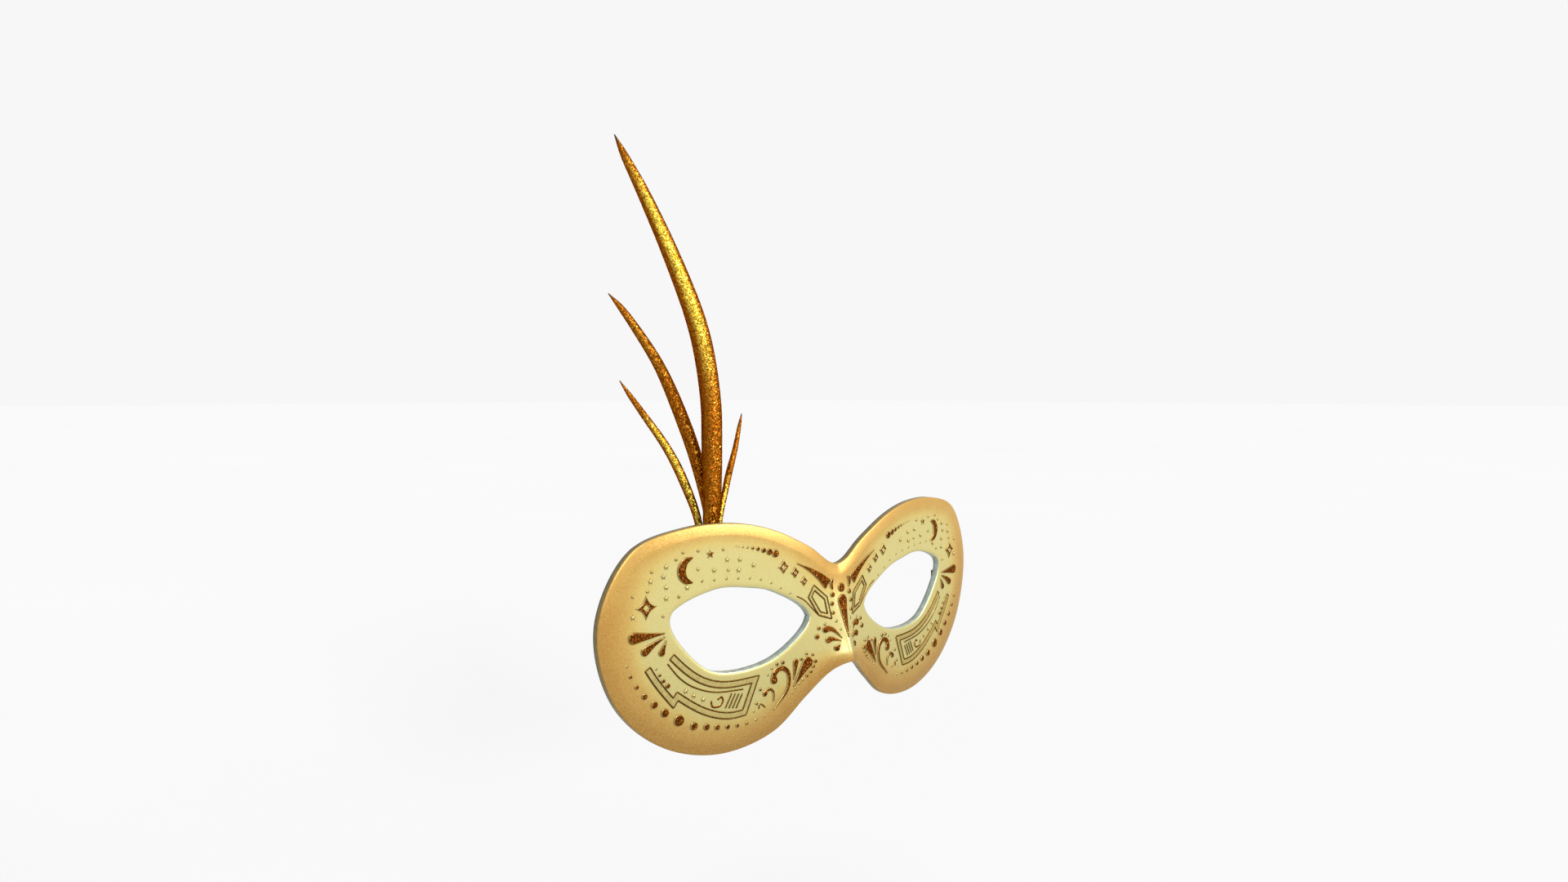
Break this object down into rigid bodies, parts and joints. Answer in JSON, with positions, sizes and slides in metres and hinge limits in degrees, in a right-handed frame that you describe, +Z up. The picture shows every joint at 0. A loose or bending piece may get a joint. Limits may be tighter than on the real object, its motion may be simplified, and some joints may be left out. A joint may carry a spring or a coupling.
{
  "type": "masquerade mask",
  "caption": "Rigid eye mask with raised ornaments, felt lining, nose pad, horn-shaped plumes held in a block behind one brow, and a pivoting ribbon ring at each temple.",
  "frame": {"origin": "middle of the nose pad's flat back face, where the mask rests on the wearer's nose", "axes": "+Z up, -Y the way the mask faces, +X to the wearer's left"},
  "size_m": [0.1894, 0.0401, 0.2018],
  "materials": {
    "pearl_gold": "pearly painted ivory gold, orange gold towards the rim",
    "glitter_copper": "copper-brown glitter set in clear resin",
    "peach_gold": "peach gold paint with fine dark outlines",
    "plume_gold": "coarse gold glitter over amber lacquer",
    "black_felt": "short matted pile",
    "grey_foam": "fine closed-cell foam",
    "black_nylon": "moulded, fine spark texture",
    "brown_leather": "smooth strap leather",
    "brass": "drawn and lightly polished"
  },
  "bodies": {
    "mask": {"brow_wing_left": "glitter_copper", "brow_wing_right": "glitter_copper", "centre_dot": "glitter_copper", "cheek_band_left": "peach_gold", "cheek_band_right": "peach_gold", "crescent_left": "glitter_copper", "crescent_right": "glitter_copper", "diamond_large_left": "glitter_copper", "diamond_large_right": "glitter_copper", "diamond_middle_left": "glitter_copper", "diamond_middle_right": "glitter_copper", "diamond_small_left": "glitter_copper", "diamond_small_right": "glitter_copper", "fan_drop_lower_left": "glitter_copper", "fan_drop_lower_right": "glitter_copper", "fan_drop_middle_left": "glitter_copper", "fan_drop_middle_right": "glitter_copper", "fan_drop_upper_left": "glitter_copper", "fan_drop_upper_right": "glitter_copper", "felt_lining": "black_felt", "mask_shell": "pearl_gold", "nose_crescent_left": "glitter_copper", "nose_crescent_right": "glitter_copper", "nose_drop": "glitter_copper", "nose_frame_left": "peach_gold", "nose_frame_right": "peach_gold", "nose_pad": "grey_foam", "plume_block": "black_nylon", "plume_inner": "plume_gold", "plume_middle": "plume_gold", "plume_screw_inner": "brass", "plume_screw_outer": "brass", "plume_short": "plume_gold", "plume_tall": "plume_gold", "rim_dot_left": "glitter_copper", "rim_dot_right": "glitter_copper", "scroll_curl_large_left": "glitter_copper", "scroll_curl_large_right": "glitter_copper", "scroll_curl_small_left": "glitter_copper", "scroll_curl_small_right": "glitter_copper", "scroll_drop_large_left": "glitter_copper", "scroll_drop_large_right": "glitter_copper", "scroll_drop_small_left": "glitter_copper", "scroll_drop_small_right": "glitter_copper", "sparkle_left": "glitter_copper", "sparkle_right": "glitter_copper", "teardrop_large_left": "glitter_copper", "teardrop_large_right": "glitter_copper", "teardrop_middle_left": "glitter_copper", "teardrop_middle_right": "glitter_copper", "teardrop_small_left": "glitter_copper", "teardrop_small_right": "glitter_copper", "tie_screw_left_lower": "brass", "tie_screw_left_upper": "brass", "tie_screw_right_lower": "brass", "tie_screw_right_upper": "brass", "tie_tab_left": "brown_leather", "tie_tab_right": "brown_leather"},
    "ribbon_ring_right": {"tie_ring_right": "brass"},
    "ribbon_ring_left": {"tie_ring_left": "brass"}
  },
  "joints": [
    {"name": "ribbon_ring_right_swing", "type": "hinge", "parent": "mask", "child": "ribbon_ring_right", "pos_m": [-0.08067, 0.00885, -0.002], "axis": [0, 0, -1], "range_deg": [0, 150]},
    {"name": "ribbon_ring_left_swing", "type": "hinge", "parent": "mask", "child": "ribbon_ring_left", "pos_m": [0.08067, 0.00885, -0.002], "axis": [0, 0, 1], "range_deg": [0, 150]}
  ]
}
